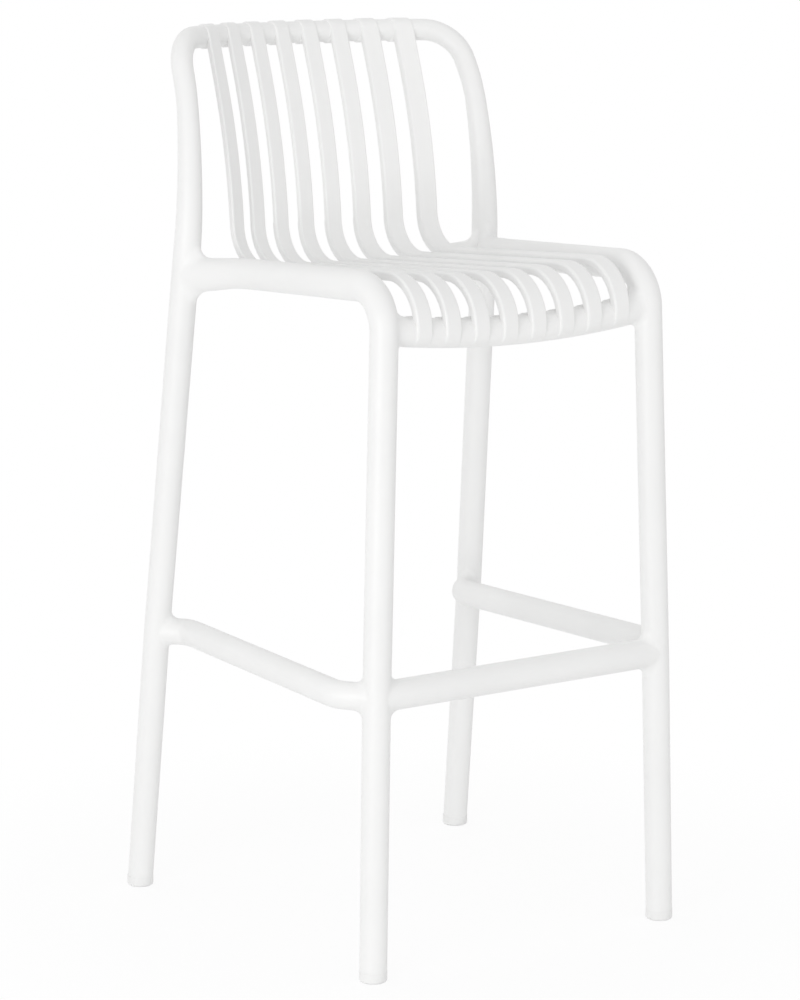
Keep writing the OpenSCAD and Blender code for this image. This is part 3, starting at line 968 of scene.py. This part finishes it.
    def build_stretchers(self) -> None:
        """Makes the two side stretchers."""
        c = self.chair
        rear_bend = c.rear_knee + c.stretcher_rear_way
        front_bend = c.front_knee + c.stretcher_front_way
        route = Route([c.rear_knee, rear_bend, front_bend, c.front_knee], [c.stretcher_r, c.stretcher_r])
        line = route.spaced(Member.SPACING / 2, Member.TURN_STEP)
        end_half = c.rear_leg_d / 2 - self.stretcher_end_in
        bar = self.bar(line, c.stretcher_d / 2, end_half, self.bar_end_reach)
        rear = bar.flare(self.rear_leg, True, self.fillet(*self.stretcher_rear_fillet))
        front = bar.flare(self.front_leg, False, self.fillet(*self.stretcher_front_fillet))
        self.pair("side_stretcher", bar.rings(rear, front))

    def build_side_rails(self) -> None:
        """Makes the two side rails."""
        c = self.chair
        route = Route([c.stub_end, c.rail_turn, c.rail_root], [c.rail_turn_r])
        line = route.spaced(Member.SPACING, Member.TURN_STEP)
        run = run_of(line)
        past = run - run[-1] + self.rail_end
        narrow = c.side_rail_d / 2 - c.upright_low_d / 2 + self.bar_end_in
        half_side = c.side_rail_d / 2 - narrow * ease(past / self.rail_end_narrowing)
        deeper = self.rail_end_deeper * ease(past / self.rail_end_deepening)
        bar = Member(self.placed(line - deeper[:, None] * UP), UP, half_side, c.side_rail_d / 2 + deeper)
        rear = bar.flare(self.rear_leg, False, self.fillet(*self.side_rail_fillet))
        self.pair("side_rail", bar.rings(None, rear))

    def build_front_rail(self) -> None:
        """Makes the front rail, which sags towards its middle."""
        c = self.chair
        root_z = c.front_rail_z + c.sag_at(c.seat_corner[0])
        root = at_height(c.front_knee, c.seat_corner, root_z)
        angle = math.asin(root[0] / c.sag_r)
        angles = np.linspace(-angle, angle, self.rail_points)
        centre = np.array([0.0, c.front_rail_y, c.front_rail_z + c.sag_r - c.front_rail_sink])
        line = np.stack([np.sin(angles), 0 * angles, -np.cos(angles)], axis=-1) * c.sag_r + centre
        reach, radii = self.front_rail_end_reach, self.front_rail_fillet
        self.cross_bar("front_seat_rail", line, c.front_rail_d, reach, radii)

    def build_corner_webs(self) -> None:
        """Makes the webs from the uprights to the outermost slats' bends."""
        c = self.chair
        share = np.linspace(0.0, 1.0, self.web_points)
        line = c.rail_root + share[:, None] * (c.web_end - c.rail_root)
        half = (c.web_d + (c.web_end_d - c.web_d) * ease(share)) / 2
        web = Member(self.placed(line), UP, half)
        rings = web.rings(web.flare(self.rear_leg, True, self.fillet(*self.web_fillet)))
        left = Workshop.skin("moulded_corner_web_left", rings)
        right = Workshop.twin(left, "moulded_corner_web_right")
        for piece in (left, right):
            hand_over(piece, None, self.material)

    def build_top_rail(self) -> None:
        """Makes the bowed top rail."""
        c = self.chair
        angles = np.linspace(-c.bow_angle, c.bow_angle, self.rail_points)
        line = np.array([c.bow_point(angle) for angle in angles])
        line[:, 2] -= c.top_sink_at(line[:, 0])
        rail = Member(self.placed(line), UP, c.top_rail_d / 2)
        piece = Workshop.skin("moulded_top_rail", rail.rings())
        hand_over(piece, "top_rail", self.material)

    def build(self) -> None:
        """Makes every member."""
        self.build_legs()
        self.build_footrest()
        self.build_stretchers()
        self.build_side_rails()
        self.build_corner_webs()
        self.build_front_rail()
        self.build_top_rail()


@dataclass
class Slats:
    """Eight slats that run in one piece from the front rail to the top rail, round both."""

    chair: Chair
    material: bpy.types.Material
    count: int = 8
    pitch: float = 38 * MM
    width: float = 20.8 * MM
    thickness: float = 7.6 * MM
    # Extra thickness for each pitch that a slat lies further out than outer_from pitches
    outer_growth: float = 1.2 * MM
    outer_from: float = 1.5
    seat_thickness: float = 9.6 * MM
    edge_r: float = 3 * MM
    edge_points: int = 8
    back_edge_r: float = 2.9 * MM
    back_edge_points: int = 6
    # Share of the top rail's slope that a slat's face keeps across its width further down
    back_turn: float = 0.8
    # How far the bands stand off their rails
    front_rise: float = 2.1 * MM
    top_rise: float = 1.6 * MM
    # Seat: its front edge's height over the front rail's middle, its fall to the rear, its bends
    seat_rise: float = 62.5 * MM
    seat_pitch: float = math.radians(3.5)
    front_bend_r: float = 59 * MM
    seat_bend_r: float = 45 * MM
    # Back: its lean low down and at the top, and how far under the top rail the two meet
    low_lean: float = math.radians(4.5)
    back_forward: float = 1.8 * MM
    top_lean: float = math.radians(18.5)
    lean_meet: float = 124 * MM
    lean_r: float = 725 * MM
    # Turns round a rail: what a band leaves free, and where it rises out of the front rail
    tuck: float = math.radians(35)
    band_from: float = math.radians(140)
    band_reach: float = math.radians(40)
    band_sink: float = 1 * MM
    wrap_steps: int = 42
    straight_steps: tuple[int, ...] = (2, 16, 8, 8)
    bend_steps: tuple[int, ...] = (22, 18, 24)
    # A band's soft sides: how far they go out and in from the slat's width, and how deep they go
    foot: float = 1.9 * MM
    shoulder: float = 1.3 * MM
    foot_sunk: float = 0.1 * MM
    foot_steps: int = 10
    most_rise: float = 6 * MM
    # Planes in which the face is worked out: how many, and how far out in widths
    planes: int = 9
    planes_out: float = 0.65
    # Distance of the extra points that keep a face flat beside a rounded edge
    beside_edge: float = 0.5 * MM
    beside_band: float = 0.4 * MM
    # Rows over which the seat's thickness turns into the back's, and how many of them lie in the bend
    thinning_rows: int = 22
    thinning_in_bend: int = 10
    # Share of the turn round a rail after which its band has run out, and over which it does so
    front_band: tuple[float, float] = (0.95, 0.14)
    top_band: tuple[float, float] = (0.9, 0.16)
    # A band's hidden side: where it starts, out from the foot, and then out from the slat's width,
    # each with its depth below the rail's surface
    hidden_start: tuple[float, float] = (0.2 * MM, 0.4 * MM)
    hidden: tuple[tuple[float, float], ...] = (
        (1.6 * MM, 0.7 * MM), (0.8 * MM, 0.8 * MM), (0.0, 0.8 * MM),
        (-1 * MM, 0.8 * MM), (-2 * MM, 0.8 * MM),
    )

    def front_wrap(self, x: float) -> Array:
        """The face's way round the front rail, from its hidden end up to the seat's front.

        Args:
            x: The plane of constant x that it lies in.

        Returns:
            Points with y and z.
        """
        c = self.chair
        turn = np.linspace(self.tuck, 2 * math.pi, self.wrap_steps + 1)
        laid_on = ease((turn - self.band_from) / self.band_reach)
        radius = c.front_rail_d / 2 + self.front_rise * laid_on - self.band_sink * (1 - laid_on)
        height = radius / math.cos(math.asin(x / c.sag_r))
        y, z = c.front_rail_y, c.front_rail_z + c.sag_at(x)
        return np.stack([y - radius * np.cos(turn), z + height * np.sin(turn)], axis=-1)

    def top_wrap(self, x: float) -> Array:
        """The face's way round the top rail, from the back's top to its hidden end.

        Args:
            x: The plane of constant x that it lies in.

        Returns:
            Points with y and z.
        """
        c = self.chair
        bow = math.asin(x / c.bow_r)
        radius = c.top_rail_d / 2 + self.top_rise
        depth = radius / math.cos(bow)
        y, z = c.top_rail_y - c.bow_at(x), c.top_rail_z - c.top_sink_at(x)
        touch = math.atan(math.tan(self.top_lean) * math.cos(bow))
        turn = np.linspace(touch, 2 * math.pi - self.tuck, self.wrap_steps + 1)
        return np.stack([y - depth * np.cos(turn), z + radius * np.sin(turn)], axis=-1)

    def column(self, x: float, middle_x: float) -> tuple[Array, Array]:
        """The slat's face in one plane of constant x.

        Args:
            x: The plane.
            middle_x: The slat's middle.

        Returns:
            Points of the face, and its outward normals, each with y and z.
        """
        c = self.chair
        front_wrap, top_wrap = self.front_wrap(x), self.top_wrap(x)
        low_bow = c.bow_at(middle_x) + self.back_turn * (c.bow_at(x) - c.bow_at(middle_x))
        top = top_wrap[0]
        meet_z = c.top_rail_z - self.lean_meet
        meet_y = top[0] - (top[1] - meet_z) * math.tan(self.top_lean)
        recline = np.array([meet_y + c.bow_at(x) - low_bow - self.back_forward, meet_z])
        fall, lean = math.tan(self.seat_pitch), math.tan(self.low_lean)
        edge = np.array([front_wrap[-1, 0], c.front_rail_z + c.sag_at(x) + self.seat_rise])
        crease_z = (edge[1] - fall * (recline[0] - lean * recline[1] - edge[0])) / (1 + fall * lean)
        crease = np.array([recline[0] - lean * (recline[1] - crease_z), crease_z])
        corners = [front_wrap[-1], edge, crease, recline, top]
        route = Route(corners, [self.front_bend_r, self.seat_bend_r, self.lean_r])
        strip = route.points(self.straight_steps, self.bend_steps)
        face = np.vstack([front_wrap[:-1], strip, top_wrap[1:]])
        way = unit(np.gradient(face, axis=0))
        return face, np.stack([-way[:, 1], way[:, 0]], axis=-1)

    def strip_outline(self, thickness: float) -> Array:
        """One half of the slat's section between the rails.

        Args:
            thickness: The slat's thickness.

        Returns:
            Points with their distance from the slat's middle and their depth below its face.
        """
        a, r, b, t = self.width / 2, self.edge_r, self.back_edge_r, thickness
        near = self.beside_edge
        turn = np.linspace(0, math.pi / 2, self.edge_points)
        back_turn = np.linspace(0, math.pi / 2, self.back_edge_points)
        front = [(a - r + r * math.sin(k), r - r * math.cos(k)) for k in turn]
        back = [(a - b + b * math.cos(k), t - b + b * math.sin(k)) for k in back_turn]
        flank = [(a, r + near), (a, t - b - near)]
        return np.array([(a - r - near, 0.0), *front, *flank, *back, (a - b - near, t)])

    def band_outline(self, rise: float) -> Array:
        """One half of the slat's section where it lies on a rail.

        Args:
            rise: How far the slat's face stands off the rail.

        Returns:
            As many points as strip_outline gives, and in its order.
        """
        half, start = self.width / 2, self.width / 2 - self.shoulder
        across, deep = self.shoulder + self.foot, rise + self.foot_sunk
        slope = [(start + across * u, deep * ease(u)) for u in np.linspace(0, 1, self.foot_steps + 1)]
        out, depth = self.hidden_start
        turned_in = (half + self.foot + out, rise + depth)
        under = [(half + out, rise + depth) for out, depth in self.hidden]
        return np.array([(start - self.beside_band, 0.0), *slope, turned_in, *under])

    def rises(self, middle_x: float, face: Array) -> tuple[Array, Array]:
        """How far a slat stands off the rails.

        Args:
            middle_x: The slat's middle.
            face: Points of its face there.

        Returns:
            Each point's height over the front rail, and over the top rail.
        """
        c = self.chair
        front = np.array([c.front_rail_y, c.front_rail_z + c.sag_at(middle_x) - c.front_rail_sink])
        top = np.array([c.top_rail_y - c.bow_at(middle_x), c.top_rail_z - c.top_sink_at(middle_x)])
        flat = np.array([math.cos(math.asin(middle_x / c.bow_r)), 1.0])
        front_rise = np.linalg.norm(face - front, axis=1) - c.front_rail_d / 2
        top_rise = np.linalg.norm((face - top) * flat, axis=1) - c.top_rail_d / 2
        return np.clip(front_rise, 0, self.most_rise), np.clip(top_rise, 0, self.most_rise)

    def shares(self, rows: int) -> tuple[Array, Array, Array]:
        """What each row of a slat takes from the seat and from the bands.

        Args:
            rows: Number of rows.

        Returns:
            Each row's share of the seat's thickness, of the front band and of the top band.
        """
        row = np.arange(rows)
        seat_end = rows - self.wrap_steps - sum(self.straight_steps[2:]) - self.bend_steps[2]
        seat = 1 - ease((row - seat_end + self.thinning_in_bend) / self.thinning_rows)
        (front_at, front_over), (top_at, top_over) = self.front_band, self.top_band
        front = ease((self.wrap_steps * front_at - row) / (front_over * self.wrap_steps))
        top = ease((row - (rows - 1 - self.wrap_steps * top_at)) / (top_over * self.wrap_steps))
        return seat, front, top

    def rings(self, number: int) -> Array:
        """Rings of one slat.

        Args:
            number: The slat, counted from the sitter's right.

        Returns:
            An array of rings, points and coordinates.
        """
        middle_x = self.pitch * (number - (self.count + 1) / 2)
        outer = max(0.0, abs(middle_x) / self.pitch - self.outer_from)
        thickness = self.thickness + self.outer_growth * outer
        columns = middle_x + np.linspace(-self.planes_out, self.planes_out, self.planes) * self.width
        laid = [self.column(float(x), middle_x) for x in columns]
        faces = np.array([face for face, _ in laid])
        normals = np.array([normal for _, normal in laid])
        rows = faces.shape[1]
        seat_share, front_share, top_share = self.shares(rows)
        thickness = np.maximum(thickness, thickness + (self.seat_thickness - thickness) * seat_share)
        front_rise, top_rise = self.rises(middle_x, faces[len(columns) // 2])
        found = np.empty((rows, 2 * len(self.strip_outline(self.thickness)), 3))
        for k in range(rows):
            half = self.strip_outline(thickness[k]) * (1 - front_share[k] - top_share[k])
            half = half + self.band_outline(front_rise[k]) * front_share[k]
            half = half + self.band_outline(top_rise[k]) * top_share[k]
            outline = np.vstack([half, (half * [-1, 1])[::-1]])
            x = middle_x + outline[:, 0]
            face = np.stack([np.interp(x, columns, faces[:, k, j]) for j in (0, 1)], axis=-1)
            normal = unit(np.stack([np.interp(x, columns, normals[:, k, j]) for j in (0, 1)], axis=-1))
            found[k, :, 0] = x
            found[k, :, 1:] = face - outline[:, 1:] * normal
        return found + self.chair.shift

    def build(self) -> None:
        """Makes every slat."""
        for number in range(1, self.count + 1):
            piece = Workshop.skin(f"moulded_slat_{number}", self.rings(number))
            hand_over(piece, f"slat_{number}", self.material)


@dataclass
class FootGlides:
    """Rounded glides under the four legs."""

    material: bpy.types.Material
    edge_r: float = 3 * MM
    edge_steps: int = 8
    sides: int = 96
    slimmer: float = 0.35 * MM
    height: float = Chair.glide_h
    sink: float = 4 * MM

    def build(self) -> None:
        """Makes the four glides."""
        for node in (f"foot_glide_{end}_{side.value}" for end in ("front", "rear") for side in Side):
            low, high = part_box(node)
            radius = (high.x - low.x) / 2 - self.slimmer
            Workshop.clear()
            bpy.ops.mesh.primitive_cylinder_add(
                vertices=self.sides, radius=radius, depth=1, location=(0, 0, 0)
            )
            piece = bpy.context.object
            piece.name = piece.data.name = f"moulded_{node}"
            for vertex in piece.data.vertices:
                vertex.co.x += (low.x + high.x) / 2
                vertex.co.y += (low.y + high.y) / 2
                vertex.co.z = 0.0 if vertex.co.z < 0 else self.height + self.sink
            for edge in piece.data.edges:
                edge.select = all(piece.data.vertices[v].co.z < MM for v in edge.vertices)
            for face in piece.data.polygons:
                face.select = False
            bpy.ops.object.mode_set(mode="EDIT")
            bpy.ops.mesh.select_mode(type="EDGE")
            bpy.ops.mesh.bevel(offset=self.edge_r, segments=self.edge_steps, affect="EDGES")
            bpy.ops.object.mode_set(mode="OBJECT")
            Workshop.smooth(piece)
            hand_over(piece, node, self.material)


@dataclass
class Studio:
    """Pale floor, soft light, white surroundings and the camera."""

    azimuth: float = math.radians(-34.34)
    elevation: float = math.radians(10.74)
    distance: float = 3.919
    target: tuple[float, float, float] = (-0.0026, 0.0016, 0.47702)
    lens_mm: float = 122.08
    sensor_mm: float = 36.0
    sight: float = 50.0
    floor_r: float = 6.0
    floor_sides: int = 96
    floor_white: float = 0.95
    # Share of plain white in the floor near the chair, and the distances over which it gets full
    near_white: float = 0.88
    white_range: tuple[float, float] = (0.3, 0.8)
    # Levels of the surroundings as light: from above, from front and rear, from the sitter's
    # right, and the most that they give together
    sky_level: float = 0.64
    wall_level: float = 0.935
    right_level: float = 0.265
    full_level: float = 1.15
    key_azimuth: float = math.radians(-62.0)
    key_elevation: float = math.radians(2.5)
    key_distance: float = 3.5
    key_size: float = 1.3
    key_power: float = 24.5

    def away(self, azimuth: float, elevation: float, distance: float) -> Vector:
        """A place round the target; its azimuth grows from the front to the sitter's left."""
        level = math.cos(elevation) * distance
        return Vector(self.target) + Vector(
            (math.sin(azimuth) * level, -math.cos(azimuth) * level, math.sin(elevation) * distance)
        )

    def aim(self, thing: bpy.types.Object, place: Vector) -> None:
        """Puts a camera or a lamp in its place, looking at the target."""
        thing.location = place
        thing.rotation_euler = (Vector(self.target) - place).to_track_quat("-Z", "Y").to_euler()

    def build_camera(self) -> None:
        """Adds the camera at the photograph's viewing angle."""
        Workshop.clear()
        bpy.ops.object.camera_add()
        camera = bpy.context.object
        camera.name = "camera"
        camera.data.lens = self.lens_mm
        camera.data.sensor_width = self.sensor_mm
        camera.data.clip_end = self.sight
        self.aim(camera, self.away(self.azimuth, self.elevation, self.distance))
        bpy.context.scene.camera = camera

    def build_key_lamp(self) -> None:
        """Adds the soft square lamp that lights the chair from its right, low down."""
        Workshop.clear()
        bpy.ops.object.light_add(type="AREA")
        lamp = bpy.context.object
        lamp.name = "key_lamp"
        lamp.data.shape = "SQUARE"
        lamp.data.size = self.key_size
        lamp.data.energy = self.key_power
        self.aim(lamp, self.away(self.key_azimuth, self.key_elevation, self.key_distance))

    def build_world(self) -> None:
        """White surroundings, plain to the camera and in reflections, softer as light."""
        world = bpy.data.worlds.new("surroundings")
        bpy.context.scene.world = world
        s = Shading(world)
        way = s.node("ShaderNodeTexCoord", out="Generated")
        walls = s.towards(way, ALONG) + s.towards(way, -ALONG)
        level = s.towards(way, UP) * self.sky_level + walls * self.wall_level
        level = level + s.towards(way, -ACROSS) * self.right_level
        dark = s.node("ShaderNodeBackground", {}, (0.0, 0.0, 0.0, 1.0), 0.0)
        full = s.node("ShaderNodeBackground", {}, (1.0, 1.0, 1.0, 1.0), self.full_level)
        light = s.node("ShaderNodeMixShader", {}, level * (1 / self.full_level), dark, full)
        plain = s.node("ShaderNodeBackground", {}, (1.0, 1.0, 1.0, 1.0), 1.0)
        s.surface(s.node("ShaderNodeMixShader", {}, s.seen(), light, plain))

    def build_floor(self) -> None:
        """Pale floor that keeps the chair's shadow."""
        Workshop.clear()
        bpy.ops.mesh.primitive_circle_add(
            vertices=self.floor_sides, radius=self.floor_r, fill_type="NGON"
        )
        floor = bpy.context.object
        floor.name = floor.data.name = "floor"
        s = Shading.named("pale_floor")
        place = s.node("ShaderNodeTexCoord", out="Object")
        reach = s.node("ShaderNodeVectorMath", {"operation": "LENGTH"}, place, out="Value")
        share = s.seen() * (reach.between(*self.white_range) * (1 - self.near_white) + self.near_white)
        diffuse = s.node("ShaderNodeBsdfDiffuse", {}, (*[self.floor_white] * 3, 1.0))
        glow = s.node("ShaderNodeEmission", {}, (1.0, 1.0, 1.0, 1.0), 1.0)
        floor.data.materials.append(s.surface(s.node("ShaderNodeMixShader", {}, share, diffuse, glow)))

    def build(self) -> None:
        """Sets the whole studio up."""
        self.build_camera()
        self.build_world()
        self.build_floor()
        self.build_key_lamp()
        bpy.context.scene.view_settings.view_transform = "Standard"


def main() -> None:
    """Builds the chair and its studio in order."""
    logging.basicConfig(level=logging.INFO, format="%(name)s %(message)s")
    frame_finish = SatinPlastic("frame_plastic", PLASTIC_WHITE).build()
    slat_finish = SatinPlastic("slat_plastic", PLASTIC_WHITE).build()
    glide_finish = SatinPlastic("glide_plastic", GLIDE_WHITE, roughness=0.5).build()
    chair = Chair()
    Studio().build()
    MouldedFrame(chair, frame_finish).build()
    Slats(chair, slat_finish).build()
    FootGlides(glide_finish).build()


if __name__ == "__main__":
    main()
